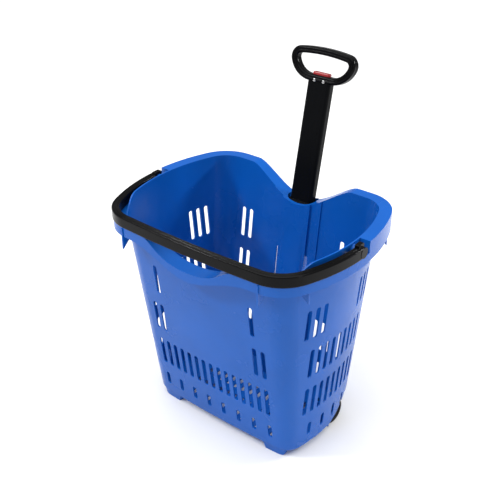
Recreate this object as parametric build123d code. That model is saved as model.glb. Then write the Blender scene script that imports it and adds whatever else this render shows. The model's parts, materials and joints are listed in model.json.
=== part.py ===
from build123d import *
import math
import os

# Rolling shop basket: a perforated tub on two rear wheels and two front feet, with a carrying bail
# and a telescopic pull handle. All sizes are in millimetres.
# While the pieces are made, Z = 0 is the tub's floor plane, X runs along the long side, and the
# front wall, where the bail lies, faces -Y. At the end everything stands on Z = 0, centred.

# Tub: outer faces at the floor plane, and how far each face leans out for every mm of height
BODY_HEIGHT = 414.0
SIDE_REACH = 173.0
SIDE_RADIUS = 309.0
SIDE_DRAFT = 0.086
FRONT_REACH = 101.0
FRONT_RADIUS = 2330.0
FRONT_DRAFT = 0.130
BACK_REACH = 95.7
BACK_DRAFT = 0.123
CORNER_LOW = 35.0
CORNER_TOP = 50.0
WALL = 2.6
FLOOR = 3.2
FLOOR_FILLET = 7.0
GROUND_GAP = 14.0

# Rim: a full-height flange behind the bail pivots, a lower ledge for the bail in front of them
FLANGE = 19.5
FLANGE_WALL = 2.6
REAR_SKIRT = 37.0
LEDGE_DROP = 22.0
FRONT_SKIRT = 17.0
UPSTAND_END = -85.0
UPSTAND_FOOT = -140.0
SCOOP_HALF = 95.0
SCOOP_DEPTH = 32.0
SCOOP_SHOULDER = 0.2
SCOOP_BELLY = 0.7
SCOOP_SKIRT_HALF = 130.0
SCOOP_SKIRT_SHOULDER = 0.4
SCOOP_SKIRT_BELLY = 0.32
DIP_HALF = 112.0
DIP_DEPTH = 52.0
DIP_SHOULDER = 0.22
DIP_BELLY = 0.41
NOTCH_BEHIND_PIVOT = 20.0
RIB_DROP = 24.0
RIB_REACH = 45.0
RIB_THICK = 2.6
RIB_FRONT_X = 145.0
RIB_SIDE_Y = 116.0

# Slots in the walls and the floor
SLOT_WIDTH = 8.8
SLOT_PITCH = 17.5
SLOT_LENGTH = 61.5
SLOT_SHORT = 29.0
ROW_SHORT = 40.7
ROW_LOW = 112.2
ROW_STEP = 87.4
FLOOR_SLOT_LENGTH = 52.0
FLOOR_SLOT_FRONT_Y = -51.2
FLOOR_SLOT_BACK_Y = 14.4
DRAIN_RADIUS = 2.0
DRAIN_Y = 20.0
DRAIN_HEIGHT = 23.0

# Front feet
FOOT_X = 124.0
FOOT_Y = 84.0
FOOT_RADIUS_TOP = 26.0
FOOT_RADIUS_LOW = 20.0
FOOT_INSET = 3.0

# Rear wheels and the bays that hold them
WHEEL_RADIUS = 24.8
WHEEL_WIDTH = 24.0
WHEEL_Y = 43.5
WHEEL_OUT = 165.6
WHEEL_GAP = 2.6
TYRE_DEPTH = 5.0
TYRE_FILLET = 3.5
AXLE_RADIUS = 4.0
AXLE_HEAD_RADIUS = 7.0
AXLE_HEAD_THICK = 2.0
AXLE_BITE = 8.0
AXLE_BOSS_RADIUS = 8.0
RUNNING_GAP = 0.05
BAY_ABOVE_WHEEL = 8.0
BAY_FRONT_GAP = 6.0
COVER_RADIUS = 110.0
COVER_CENTRE_Y = -20.0

# Bail
BAIL_WIDTH = 14.0
BAIL_HEIGHT = 20.0
BAIL_START = 7.5
BAIL_FILLET = 2.4
BAIL_GROOVE_WIDTH = 1.2
BAIL_GROOVE_DEPTH = 0.7
BAIL_GROOVES = 3
PIVOT_Y = -5.5
PIVOT_RADIUS = 5.0
PIVOT_REACH = 1.0
EYE_PROUD = 0.4
LUG_HEIGHT = 4.0
LUG_WIDTH = 8.0
LUG_LENGTH = 16.0
BOSS_RADIUS = 9.0
BOSS_GAP = 1.0
REST_GAP = 0.3

# Telescopic handle: flat-oval tubes, the widest fixed in a pocket of the back wall
LEAN = 11.8
MOUTH_BEHIND_WALL = 8.28
MOUTH_DROP = 47.5
MOUTH_RISE = 8.0
TUBE_FOOT = 12.2
INNER_WIDTH = 47.5
INNER_DEPTH = 20.0
TUBE_WALL = 1.4
TUBE_GAP = 0.4
TUBE_CORNER = 6.0
OUTER_TOP = -9.0
PLUG_HEIGHT = 12.0
MIDDLE_TRAVEL = 250.0
INNER_LENGTH = 337.0
INNER_SPARE_TRAVEL = 60.0
COLLAR_WALL = 1.9
COLLAR_SKIRT = 10.0
OUTER_HEAD = 3.0
MIDDLE_HEAD = 4.0
MIDDLE_PROUD = 1.5
POCKET_GAP = 0.3
POCKET_WALL = 3.0
POCKET_FLOOR = 3.0
SADDLE_HALF = 53.0
SADDLE_DEPTH = 2.0
PANEL_HALF = 31.0
PANEL_DEPTH = 6.0
SLIT_WIDTH = 4.5
SLIT_X = 33.6
SLIT_HEIGHT = 232.0
SLIT_LENGTH = 66.0
TUBE_SCREW_X = 14.0
TUBE_SCREW_RADIUS = 2.0
TUBE_SCREW_LENGTH = 9.0
TUBE_SCREW_HEAD_RADIUS = 4.0
TUBE_SCREW_HEAD = 2.5

# Grip: a closed loop of two half shells with the release button at its base
GRIP_BASE = 216.0
GRIP_HEIGHT = 61.0
GRIP_REACH = 68.2
GRIP_SIDE_RADIUS = 46.0
GRIP_CORNER = 20.0
GRIP_ARCH = 346.0
GRIP_BAR = 13.0
GRIP_DEPTH = 19.0
GRIP_FILLET = 4.5
TONGUE_LENGTH = 26.0
GRIP_SCREW_X = 9.6
GRIP_SCREW_UP = 3.2
GRIP_SCREW_RADIUS = 1.5
GRIP_SCREW_HEAD_RADIUS = 3.0
GRIP_SCREW_HEAD = 1.6
GRIP_SCREW_LENGTH = 13.0
BUTTON_WIDTH = 35.0
BUTTON_DEPTH = 11.0
BUTTON_RISE = 5.0
BUTTON_FILLET = 2.5
BUTTON_TRAVEL = 3.0
BUTTON_SKIRT = 3.5
BUTTON_FLANGE = 1.5
BUTTON_FLANGE_OUT = 2.0
SLIDE_GAP = 0.3
ROD_RADIUS = 2.0
SPRING_RADIUS = 3.2
SPRING_WIRE = 0.45
SPRING_TURNS = 6
SPRING_WELL_RADIUS = 4.2
SPRING_WELL_DEPTH = 15.0

# Lock blocks at the lower ends of the sliding tubes
BLOCK_HEIGHT = 24.0
PIN_RADIUS = 3.0
PIN_LENGTH = 10.0
PIN_SHY = 0.1
PIN_SPRING_RADIUS = 2.2
PIN_SPRING_WIRE = 0.35
PIN_SPRING_TURNS = 4
PIN_SPRING_LENGTH = 5.5

# Worked out from the sizes above
LEDGE = BODY_HEIGHT - LEDGE_DROP
PIVOT_HEIGHT = LEDGE + REST_GAP + BAIL_HEIGHT / 2
RIM_SIDE = SIDE_REACH + SIDE_DRAFT * BODY_HEIGHT
NOTCH_Y = PIVOT_Y + NOTCH_BEHIND_PIVOT
WHEEL_HEIGHT = WHEEL_RADIUS - GROUND_GAP
WHEEL_IN = WHEEL_OUT - WHEEL_WIDTH
MIDDLE_WIDTH = INNER_WIDTH + 2 * (TUBE_WALL + TUBE_GAP)
MIDDLE_DEPTH = INNER_DEPTH + 2 * (TUBE_WALL + TUBE_GAP)
OUTER_WIDTH = MIDDLE_WIDTH + 2 * (TUBE_WALL + TUBE_GAP)
OUTER_DEPTH = MIDDLE_DEPTH + 2 * (TUBE_WALL + TUBE_GAP)
MOUTH_Y = BACK_REACH + BACK_DRAFT * BODY_HEIGHT + MOUTH_BEHIND_WALL
MOUTH_HEIGHT = BODY_HEIGHT - MOUTH_DROP
OUTER_LOW = (TUBE_FOOT - MOUTH_HEIGHT) / math.cos(math.radians(LEAN))
MIDDLE_LOW = OUTER_LOW + PLUG_HEIGHT
OUTER_COLLAR_TOP = OUTER_TOP + OUTER_HEAD
MIDDLE_COLLAR_TOP = OUTER_COLLAR_TOP + MIDDLE_PROUD
MIDDLE_TOP = MIDDLE_COLLAR_TOP - MIDDLE_HEAD
INNER_LOW = GRIP_BASE - INNER_LENGTH
INNER_PIN = INNER_LOW + BLOCK_HEIGHT / 2
MIDDLE_PIN = MIDDLE_LOW + BLOCK_HEIGHT / 2
BAR_INNER = GRIP_BASE + GRIP_BAR
BUTTON_LOW = BAR_INNER - BUTTON_SKIRT
BUTTON_WELL = BUTTON_LOW - BUTTON_TRAVEL - SLIDE_GAP
ROD_LOW = INNER_PIN + PIN_RADIUS + BUTTON_TRAVEL + 2 * SLIDE_GAP
BAY_INSIDE = WHEEL_IN - WHEEL_GAP
AXLE_SEAT = WHEEL_IN - SLIDE_GAP
AXLE_TIP = AXLE_SEAT - AXLE_BITE
AXLE_HEAD_SEAT = WHEEL_OUT + SLIDE_GAP
PIVOT_TIP = RIM_SIDE - PIVOT_REACH
ABOVE_RIM = BODY_HEIGHT + BAIL_HEIGHT
FAR = 2 * (SIDE_REACH + BODY_HEIGHT)

TUBE_PLANE = Plane(
    origin=(0, MOUTH_Y, MOUTH_HEIGHT),
    x_dir=(1, 0, 0),
    z_dir=(0, math.sin(math.radians(LEAN)), math.cos(math.radians(LEAN))),
)


def plan(height, grow=0.0):
    """Tub outline at a height over the floor plane, grown outwards: three bowed walls, a flat back."""
    side = SIDE_REACH + SIDE_DRAFT * height + grow
    front = FRONT_REACH + FRONT_DRAFT * height + grow
    back = BACK_REACH + BACK_DRAFT * height + grow
    side_radius = SIDE_RADIUS + grow
    front_radius = FRONT_RADIUS + grow
    corner = CORNER_LOW + (CORNER_TOP - CORNER_LOW) * height / BODY_HEIGHT + grow
    outline = Pos(side - side_radius, 0) * Circle(side_radius)
    outline &= Pos(side_radius - side, 0) * Circle(side_radius)
    outline &= Pos(0, front_radius - front) * Circle(front_radius)
    outline &= Pos(0, back - front_radius) * Rectangle(2 * front_radius, 2 * front_radius)
    return fillet(outline.vertices(), corner)


def tub(low, high, grow=0.0):
    """Solid of the tub's tapered shape between two heights."""
    return loft([Pos(0, 0, low) * plan(low, grow), Pos(0, 0, high) * plan(high, grow)], ruled=True)


def rim_block(grow):
    """Upright solid with the rim's outline."""
    return extrude(plan(BODY_HEIGHT, grow), ABOVE_RIM)


def under(top, half=0.0, depth=0.0, shoulder=SCOOP_SHOULDER, belly=SCOOP_BELLY):
    """Everything below a level top line that sags by depth in its middle, as a solid along Y."""
    outline = Polyline((half, top), (FAR, top), (FAR, -FAR), (-FAR, -FAR), (-FAR, top), (-half, top))
    if depth:
        near = half * (1 - shoulder)
        deep = half * belly
        outline += Bezier((-half, top), (-near, top), (-deep, top - depth), (0, top - depth))
        outline += Bezier((0, top - depth), (deep, top - depth), (near, top), (half, top))
    face = make_face(outline)
    return extrude(Plane.XZ * face, FAR, both=True)


def half_space(y, side):
    """Block that fills everything on one side of a Y position; side is -1 for front, 1 for back."""
    return Pos(0, y + side * FAR / 2, 0) * Box(2 * FAR, FAR, 2 * FAR)


def back_sag(top, depth):
    """Everything below a top line that sags at the middle of the back, where the folded grip lies."""
    return under(top, DIP_HALF, depth, DIP_SHOULDER, DIP_BELLY)


def rear_flange():
    """Rim flange and skirt behind the bail pivots."""
    solid = rim_block(FLANGE) & back_sag(BODY_HEIGHT, DIP_DEPTH)
    hollow = rim_block(FLANGE - FLANGE_WALL) & half_space(NOTCH_Y + FLANGE_WALL, 1)
    solid -= hollow & back_sag(BODY_HEIGHT - FLANGE_WALL, DIP_DEPTH)
    solid -= back_sag(BODY_HEIGHT - REAR_SKIRT, REAR_SKIRT)
    return solid & half_space(NOTCH_Y, 1)


def front_flange():
    """Ledge and skirt in front of the pivots; both follow the scoop in the front wall."""
    solid = rim_block(FLANGE) & under(LEDGE, SCOOP_HALF, SCOOP_DEPTH)
    solid -= rim_block(FLANGE - FLANGE_WALL) & under(LEDGE - FLANGE_WALL, SCOOP_HALF, SCOOP_DEPTH)
    solid -= under(LEDGE - FRONT_SKIRT, SCOOP_SKIRT_HALF, SCOOP_DEPTH, SCOOP_SKIRT_SHOULDER,
                   SCOOP_SKIRT_BELLY)
    lug_room = Pos(0, PIVOT_Y, PIVOT_HEIGHT) * Rot(0, 90, 0)
    lug_room *= Cylinder(BAIL_HEIGHT / 2 + LUG_HEIGHT + FLANGE_WALL, 2 * FAR)
    solid -= lug_room & rim_block(FLANGE - FLANGE_WALL)
    return solid & half_space(NOTCH_Y, -1)


def upstand_cut():
    """Waste above the side walls where they come down from the pivots to the ledge."""
    bend = (UPSTAND_FOOT - UPSTAND_END) / 2
    outline = Bezier(
        (UPSTAND_END, BODY_HEIGHT),
        (UPSTAND_END + bend, BODY_HEIGHT),
        (UPSTAND_FOOT - bend, LEDGE),
        (UPSTAND_FOOT, LEDGE),
    )
    outline += Polyline((UPSTAND_FOOT, LEDGE), (-FAR, LEDGE), (-FAR, FAR), (UPSTAND_END, FAR),
                        (UPSTAND_END, BODY_HEIGHT))
    return extrude(Plane.YZ * make_face(outline), FAR, both=True)


def slot_cutters(columns, centre, length):
    """Round-ended upright slots at multiples of the slot pitch, as flat shapes in a wall's plane."""
    slot = Rot(0, 0, 90) * SlotOverall(length, SLOT_WIDTH)
    return [Pos(column * SLOT_PITCH, centre) * slot for column in columns]


def wall_slots():
    """All cutters for the slots of the four walls."""
    high = ROW_LOW + 2 * ROW_STEP
    middle = ROW_LOW + ROW_STEP
    front = slot_cutters((-6, 6), high, SLOT_LENGTH)
    front += slot_cutters((-7, -6, 6, 7), middle, SLOT_LENGTH)
    front += slot_cutters(range(-7, 8), ROW_LOW, SLOT_LENGTH)
    front += slot_cutters(range(-7, 8, 2), ROW_SHORT, SLOT_SHORT)
    side = slot_cutters((-5, -4, -3, 3, 4, 5), high, SLOT_LENGTH)
    side += slot_cutters(range(-4, 5), middle, SLOT_LENGTH)
    side += slot_cutters(range(-4, 5), ROW_LOW, SLOT_LENGTH)
    side += slot_cutters((-3, -1, 1, 3), ROW_SHORT, SLOT_SHORT)
    back = slot_cutters((-7, -6, 6, 7), high, SLOT_LENGTH)
    back += slot_cutters((-7, -6, 6, 7), middle, SLOT_LENGTH)
    back += slot_cutters((-7, -6, -5, -4, 4, 5, 6, 7), ROW_LOW, SLOT_LENGTH)
    back += slot_cutters((-5, 5), ROW_SHORT, SLOT_SHORT)
    cutters = [extrude(Plane.XZ * shape, FAR) for shape in front]
    cutters += [extrude(Plane.YZ * shape, FAR, both=True) for shape in side]
    cutters += [extrude(Plane.XZ * shape, -FAR) for shape in back]
    drain = Pos(0, DRAIN_Y, DRAIN_HEIGHT) * Rot(0, 90, 0) * Cylinder(DRAIN_RADIUS, 2 * FAR)
    return cutters + [drain]


def floor_slots():
    """Cutters for the grid of slots in the floor, clear of the wheel bays and the handle pocket."""
    slot = Rot(0, 0, 90) * SlotOverall(FLOOR_SLOT_LENGTH, SLOT_WIDTH)
    rows = (FLOOR_SLOT_FRONT_Y, FLOOR_SLOT_BACK_Y)
    shapes = [Pos(column * SLOT_PITCH, row) * slot for row in rows for column in range(-6, 7)]
    return [extrude(shape, 2 * FLOOR, both=True) for shape in shapes]


def rib(reach, level, skirt):
    """Three-cornered plate in the XZ plane that holds up the skirt below a rim's level."""
    out = reach + FLANGE - FLANGE_WALL
    top = level - FLANGE_WALL / 2
    triangle = Polyline((out, top), (out, level - skirt - RIB_DROP), (out - RIB_REACH, top), close=True)
    return extrude(Plane.XZ * make_face(triangle), RIB_THICK / 2, both=True)


def rim_ribs():
    """The ribs under the rim, one at each end of every corner."""
    side_reach = RIM_SIDE - SIDE_RADIUS + math.sqrt(SIDE_RADIUS**2 - RIB_SIDE_Y**2)
    front = rib(FRONT_REACH + FRONT_DRAFT * BODY_HEIGHT, LEDGE, FRONT_SKIRT)
    back = rib(BACK_REACH + BACK_DRAFT * BODY_HEIGHT, BODY_HEIGHT, REAR_SKIRT)
    ribs = [
        Pos(0, -RIB_SIDE_Y, 0) * rib(side_reach, LEDGE, FRONT_SKIRT),
        Pos(0, RIB_SIDE_Y, 0) * rib(side_reach, BODY_HEIGHT, REAR_SKIRT),
        Pos(RIB_FRONT_X, 0, 0) * Rot(0, 0, -90) * front,
        Pos(RIB_FRONT_X, 0, 0) * Rot(0, 0, 90) * back,
    ]
    return ribs + [mirror(plate, Plane.YZ) for plate in ribs]


def along_x(radius, low, high, y, z):
    """Round bar along X between two X positions."""
    return Pos((low + high) / 2, y, z) * Rot(0, 90, 0) * Cylinder(radius, high - low)


def corner_block(x, y, top):
    """Block that fills everything outside X, behind Y and below a height."""
    return Pos(x + FAR / 2, y + FAR / 2, top - FAR / 2) * Box(FAR, FAR, FAR)


def wheel_bay():
    """Right rear wheel bay: its walls, the waste inside it, the waste behind the cover, its boss."""
    front = WHEEL_Y - WHEEL_RADIUS - BAY_FRONT_GAP
    top = WHEEL_HEIGHT + WHEEL_RADIUS + BAY_ABOVE_WHEEL
    walls = corner_block(BAY_INSIDE - WALL, front - WALL, top + WALL) & tub(0, BODY_HEIGHT)
    hollow = corner_block(BAY_INSIDE, front, top) & tub(-GROUND_GAP, BODY_HEIGHT, -WALL)
    behind = corner_block(BAY_INSIDE, front, top)
    behind -= along_x(COVER_RADIUS, 0, FAR, COVER_CENTRE_Y, COVER_RADIUS)
    boss = along_x(AXLE_BOSS_RADIUS, AXLE_TIP - WALL, AXLE_SEAT, WHEEL_Y, WHEEL_HEIGHT)
    boss &= tub(0, BODY_HEIGHT)
    return walls, hollow, behind, boss


def oval(width, depth, low, high):
    """Upright flat-oval prism; its corners grow with it from the inner tube's."""
    corner = TUBE_CORNER + (width - INNER_WIDTH) / 2
    return Pos(0, 0, low) * extrude(RectangleRounded(width, depth, corner), high - low)


def pocket(grow, low, high):
    """Flat-oval prism on the handle's line, grown beyond the outer tube."""
    return TUBE_PLANE * oval(OUTER_WIDTH + 2 * grow, OUTER_DEPTH + 2 * grow, low, high)


def basket_body():
    """The tub, one moulding."""
    body = tub(0, BODY_HEIGHT)
    body = fillet(body.faces().sort_by(Axis.Z)[0].edges(), FLOOR_FILLET)
    body -= upstand_cut()
    scoop = half_space(UPSTAND_FOOT / 2, -1) - under(LEDGE, SCOOP_HALF, SCOOP_DEPTH)
    body -= scoop & Box(2 * SCOOP_HALF, 2 * FAR, 2 * FAR)
    dip = half_space(0, 1) - back_sag(BODY_HEIGHT, DIP_DEPTH)
    body -= dip
    body += rear_flange()
    body += front_flange()
    body += rim_ribs()
    boss = along_x(BOSS_RADIUS, RIM_SIDE - 2 * WALL, RIM_SIDE + BAIL_START - BOSS_GAP, PIVOT_Y, PIVOT_HEIGHT)
    body += [boss, mirror(boss, Plane.YZ)]

    recess_top = BODY_HEIGHT - REAR_SKIRT - DIP_DEPTH
    saddle = []
    recess = []
    for half, depth in ((SADDLE_HALF, SADDLE_DEPTH), (PANEL_HALF, PANEL_DEPTH)):
        step = Pos(0, FAR / 2, 0) * Box(2 * half, FAR, 2 * FAR)
        saddle.append(step - tub(0, ABOVE_RIM, -WALL - depth) - dip)
        step = Pos(0, FAR / 2, recess_top / 2) * Box(2 * (half - WALL), FAR, recess_top)
        recess.append(step - tub(-FLOOR, BODY_HEIGHT, -depth))
    body -= tub(FLOOR, ABOVE_RIM, -WALL) - saddle
    body -= recess

    foot = Cone(FOOT_RADIUS_LOW, FOOT_RADIUS_TOP, GROUND_GAP + FLOOR)
    foot = Pos(FOOT_X, -FOOT_Y, (FLOOR - GROUND_GAP) / 2) * foot & tub(-GROUND_GAP, FLOOR, -FOOT_INSET)
    body += [foot, mirror(foot, Plane.YZ)]
    walls, hollow, behind, boss = wheel_bay()
    body += [walls, mirror(walls, Plane.YZ)]
    body -= [hollow, mirror(hollow, Plane.YZ), behind, mirror(behind, Plane.YZ)]
    body += [boss, mirror(boss, Plane.YZ)]
    body -= wall_slots()
    body -= floor_slots()

    low = OUTER_LOW - POCKET_FLOOR
    sleeve = pocket(POCKET_GAP + POCKET_WALL, low - 2 * OUTER_DEPTH, MOUTH_RISE)
    body += sleeve & back_sag(BODY_HEIGHT, DIP_DEPTH) & Pos(0, 0, FAR / 2) * Box(FAR, FAR, FAR)
    body -= pocket(POCKET_GAP, low - 2 * OUTER_DEPTH, low)
    body -= pocket(POCKET_GAP, OUTER_LOW, 3 * MOUTH_RISE)
    body -= pocket(COLLAR_WALL + POCKET_GAP, OUTER_TOP - COLLAR_SKIRT - POCKET_GAP, 3 * MOUTH_RISE)
    for side in (-1, 1):
        hole = Cylinder(TUBE_SCREW_RADIUS, 4 * POCKET_FLOOR)
        body -= TUBE_PLANE * (Pos(side * TUBE_SCREW_X, 0, OUTER_LOW) * hole)
        slit = Pos(side * SLIT_X, SLIT_HEIGHT) * Rot(0, 0, 90) * SlotOverall(SLIT_LENGTH, SLIT_WIDTH)
        body -= extrude(Plane.XZ * slit, -FAR)
    axle_bore = along_x(AXLE_RADIUS, AXLE_TIP, AXLE_SEAT, WHEEL_Y, WHEEL_HEIGHT)
    pivot_bore = along_x(PIVOT_RADIUS + RUNNING_GAP, PIVOT_TIP - REST_GAP, FAR, PIVOT_Y, PIVOT_HEIGHT)
    body -= [axle_bore, mirror(axle_bore, Plane.YZ), pivot_bore, mirror(pivot_bore, Plane.YZ)]
    return body


def carry_bail():
    """Bail that lies on the front ledge, with the two pivot pins moulded on."""
    outer = BAIL_START + BAIL_WIDTH
    low = LEDGE + REST_GAP
    ring = extrude(plan(BODY_HEIGHT, outer) - plan(BODY_HEIGHT, BAIL_START), BAIL_HEIGHT)
    bail = Pos(0, 0, low) * ring & half_space(PIVOT_Y, -1)
    bail = fillet([edge for edge in bail.edges() if edge.length > 2 * BAIL_WIDTH], BAIL_FILLET)
    step = BAIL_WIDTH / (BAIL_GROOVES + 1)
    for number in range(1, BAIL_GROOVES + 1):
        middle = BAIL_START + number * step
        groove = plan(BODY_HEIGHT, middle + BAIL_GROOVE_WIDTH / 2)
        groove -= plan(BODY_HEIGHT, middle - BAIL_GROOVE_WIDTH / 2)
        groove = Pos(0, 0, low + BAIL_HEIGHT - BAIL_GROOVE_DEPTH) * extrude(groove, BAIL_HEIGHT)
        bail -= groove & half_space(PIVOT_Y - BAIL_HEIGHT / 2, -1)
    face_in = RIM_SIDE + BAIL_START - EYE_PROUD
    eye = along_x(BAIL_HEIGHT / 2 - EYE_PROUD, face_in, RIM_SIDE + outer + EYE_PROUD, PIVOT_Y, PIVOT_HEIGHT)
    eye += along_x(PIVOT_RADIUS, PIVOT_TIP, face_in + WALL, PIVOT_Y, PIVOT_HEIGHT)
    lug = Box(LUG_WIDTH, LUG_LENGTH, BAIL_HEIGHT / 2 + LUG_HEIGHT)
    lug = fillet(lug.edges().filter_by(Axis.X), BAIL_FILLET)
    lug_z = PIVOT_HEIGHT + (BAIL_HEIGHT / 2 + LUG_HEIGHT) / 2
    eye += Pos(face_in + LUG_WIDTH / 2, PIVOT_Y, lug_z) * lug
    bail += eye
    return bail + mirror(eye, Plane.YZ)


def tube(width, depth, low, high, lock_holes):
    """Flat-oval tube with round holes for lock pins in its rear wall."""
    bore = oval(width - 2 * TUBE_WALL, depth - 2 * TUBE_WALL, low, high)
    body = oval(width, depth, low, high) - bore
    for height in lock_holes:
        hole = Cylinder(PIN_RADIUS + RUNNING_GAP, depth)
        body -= Pos(0, depth / 2, height) * Rot(90, 0, 0) * hole
    return body


def outer_collar():
    """Moulded ring round the outer tube's upper end, which guides the middle tube."""
    body = oval(OUTER_WIDTH + 2 * COLLAR_WALL, OUTER_DEPTH + 2 * COLLAR_WALL, OUTER_TOP - COLLAR_SKIRT,
                OUTER_COLLAR_TOP)
    body -= oval(OUTER_WIDTH, OUTER_DEPTH, OUTER_TOP - COLLAR_SKIRT, OUTER_TOP)
    room = 2 * SLIDE_GAP
    return body - oval(MIDDLE_WIDTH + room, MIDDLE_DEPTH + room, OUTER_LOW, OUTER_COLLAR_TOP)


def middle_collar():
    """Moulded ring on the middle tube's end, which guides the inner tube."""
    body = oval(MIDDLE_WIDTH, MIDDLE_DEPTH, MIDDLE_TOP, MIDDLE_COLLAR_TOP)
    room = 2 * SLIDE_GAP
    return body - oval(INNER_WIDTH + room, INNER_DEPTH + room, MIDDLE_TOP, MIDDLE_COLLAR_TOP)


def tube_plug():
    """Plug in the outer tube's lower end, which the two screws from below hold."""
    plug = oval(OUTER_WIDTH - 2 * TUBE_WALL, OUTER_DEPTH - 2 * TUBE_WALL, OUTER_LOW, MIDDLE_LOW - REST_GAP)
    for side in (-1, 1):
        hole = Cylinder(TUBE_SCREW_RADIUS, 2 * (TUBE_SCREW_LENGTH - POCKET_FLOOR))
        plug -= Pos(side * TUBE_SCREW_X, 0, OUTER_LOW) * hole
    return plug


def screw(radius, length, head_radius, head):
    """Round-headed screw along +Z: the shank runs up from Z = 0 and the head lies under it."""
    body = Pos(0, 0, length / 2) * Cylinder(radius, length)
    cap = fillet(Cylinder(head_radius, head).edges().sort_by(Axis.Z)[0], head / 2)
    slot = Pos(0, 0, -head) * Box(3 * head_radius, head_radius / 3, head)
    return body + (Pos(0, 0, -head / 2) * cap - slot)


def tube_screws():
    """The two screws through the pocket floor."""
    one = screw(TUBE_SCREW_RADIUS, TUBE_SCREW_LENGTH, TUBE_SCREW_HEAD_RADIUS, TUBE_SCREW_HEAD)
    places = Locations((-TUBE_SCREW_X, 0, OUTER_LOW - POCKET_FLOOR), (TUBE_SCREW_X, 0, OUTER_LOW - POCKET_FLOOR))
    return Compound([place * one for place in places])


def lock_block(width, depth, low):
    """Block in a sliding tube's lower end with the cross bore for the lock pin and its spring."""
    body = oval(width - 2 * TUBE_WALL, depth - 2 * TUBE_WALL, low, low + BLOCK_HEIGHT)
    bore_end = depth / 2 - PIN_SHY - PIN_LENGTH - PIN_SPRING_LENGTH
    bore = Cylinder(PIN_RADIUS + RUNNING_GAP, depth)
    return body - Pos(0, bore_end + depth / 2, low + BLOCK_HEIGHT / 2) * Rot(90, 0, 0) * bore


def lock_pin(depth, height):
    """Round-nosed pin that springs out of the rear wall of a tube of the given depth."""
    pin = Cylinder(PIN_RADIUS, PIN_LENGTH)
    pin = fillet(pin.edges().sort_by(Axis.Z)[-1], PIN_RADIUS / 4)
    return Pos(0, depth / 2 - PIN_SHY - PIN_LENGTH / 2, height) * Rot(-90, 0, 0) * pin


def coil(radius, wire, turns, length):
    """Compression spring along +Z from Z = 0, a round wire on a helix."""
    path = Helix((length - 2 * wire) / turns, length - 2 * wire, radius)
    section = Plane(origin=path @ 0, z_dir=path % 0) * Circle(wire)
    return Pos(0, 0, wire) * sweep(section, path=path)


def pin_spring(depth, height):
    """Spring behind a lock pin."""
    spring = coil(PIN_SPRING_RADIUS, PIN_SPRING_WIRE, PIN_SPRING_TURNS, PIN_SPRING_LENGTH - SLIDE_GAP)
    start = depth / 2 - PIN_SHY - PIN_LENGTH - PIN_SPRING_LENGTH + SLIDE_GAP / 2
    return Pos(0, start, height) * Rot(-90, 0, 0) * spring


def grip_outline():
    """Outer outline of the loop, upright in XZ: a flat base, sides that bow out, an arched top."""
    outline = Pos(0, GRIP_BASE + GRIP_SIDE_RADIUS) * SlotOverall(2 * GRIP_REACH, 2 * GRIP_SIDE_RADIUS)
    outline &= Pos(0, GRIP_BASE + GRIP_HEIGHT - GRIP_ARCH) * Circle(GRIP_ARCH)
    return fillet(outline.vertices().sort_by(Axis.Y)[-2:], GRIP_CORNER)


def grip_shell():
    """Both halves of the grip as one solid, with the button well and the tongue for the tube."""
    outline = grip_outline()
    ring = outline - offset(outline, -GRIP_BAR)
    loop = extrude(Plane.XZ * ring, GRIP_DEPTH / 2, both=True)
    body = fillet([edge for edge in loop.edges() if abs(edge.center().Y) > GRIP_DEPTH / 4], GRIP_FILLET)
    tongue_width = INNER_WIDTH - 2 * TUBE_WALL
    tongue_depth = INNER_DEPTH - 2 * TUBE_WALL
    body += oval(tongue_width, tongue_depth, GRIP_BASE - TONGUE_LENGTH, GRIP_BASE + GRIP_FILLET)
    room = 2 * SLIDE_GAP
    well_top = BAR_INNER + GRIP_BAR / 2
    lip = BUTTON_LOW + BUTTON_FLANGE + SLIDE_GAP
    wide = BUTTON_WIDTH + 2 * BUTTON_FLANGE_OUT + room
    deep = BUTTON_DEPTH + room
    body -= Pos(0, 0, (BUTTON_WELL + lip) / 2) * Box(wide, deep, lip - BUTTON_WELL)
    body -= Pos(0, 0, (BUTTON_WELL + well_top) / 2) * Box(BUTTON_WIDTH + room, deep, well_top - BUTTON_WELL)
    body -= Pos(0, 0, BUTTON_WELL) * Cylinder(SPRING_WELL_RADIUS, 2 * SPRING_WELL_DEPTH)
    body -= Pos(0, 0, GRIP_BASE) * Cylinder(ROD_RADIUS + SLIDE_GAP, 4 * TONGUE_LENGTH)
    for side in (-1, 1):
        place = Pos(side * GRIP_SCREW_X, -GRIP_DEPTH / 2, GRIP_BASE + GRIP_SCREW_UP) * Rot(90, 0, 0)
        body -= place * Cylinder(GRIP_SCREW_HEAD_RADIUS, 2 * GRIP_SCREW_HEAD)
        body -= place * Cylinder(GRIP_SCREW_RADIUS, 2 * (GRIP_SCREW_LENGTH + GRIP_SCREW_HEAD))
    return body


def grip_screws():
    """The two screws that close the grip, driven from its front."""
    one = Rot(-90, 0, 0) * screw(GRIP_SCREW_RADIUS, GRIP_SCREW_LENGTH, GRIP_SCREW_HEAD_RADIUS, GRIP_SCREW_HEAD)
    y = GRIP_SCREW_HEAD - GRIP_DEPTH / 2
    z = GRIP_BASE + GRIP_SCREW_UP
    return Compound([Pos(side * GRIP_SCREW_X, y, z) * one for side in (-1, 1)])


def release_button():
    """Red button with a retaining flange below the bar's lip."""
    height = BUTTON_SKIRT + BUTTON_RISE
    cap = extrude(RectangleRounded(BUTTON_WIDTH, BUTTON_DEPTH, BUTTON_DEPTH / 3), height)
    cap = fillet(cap.faces().sort_by(Axis.Z)[-1].edges(), BUTTON_FILLET)
    flange = RectangleRounded(BUTTON_WIDTH + 2 * BUTTON_FLANGE_OUT, BUTTON_DEPTH, BUTTON_DEPTH / 3)
    return Pos(0, 0, BUTTON_LOW) * (cap + extrude(flange, BUTTON_FLANGE))


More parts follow.
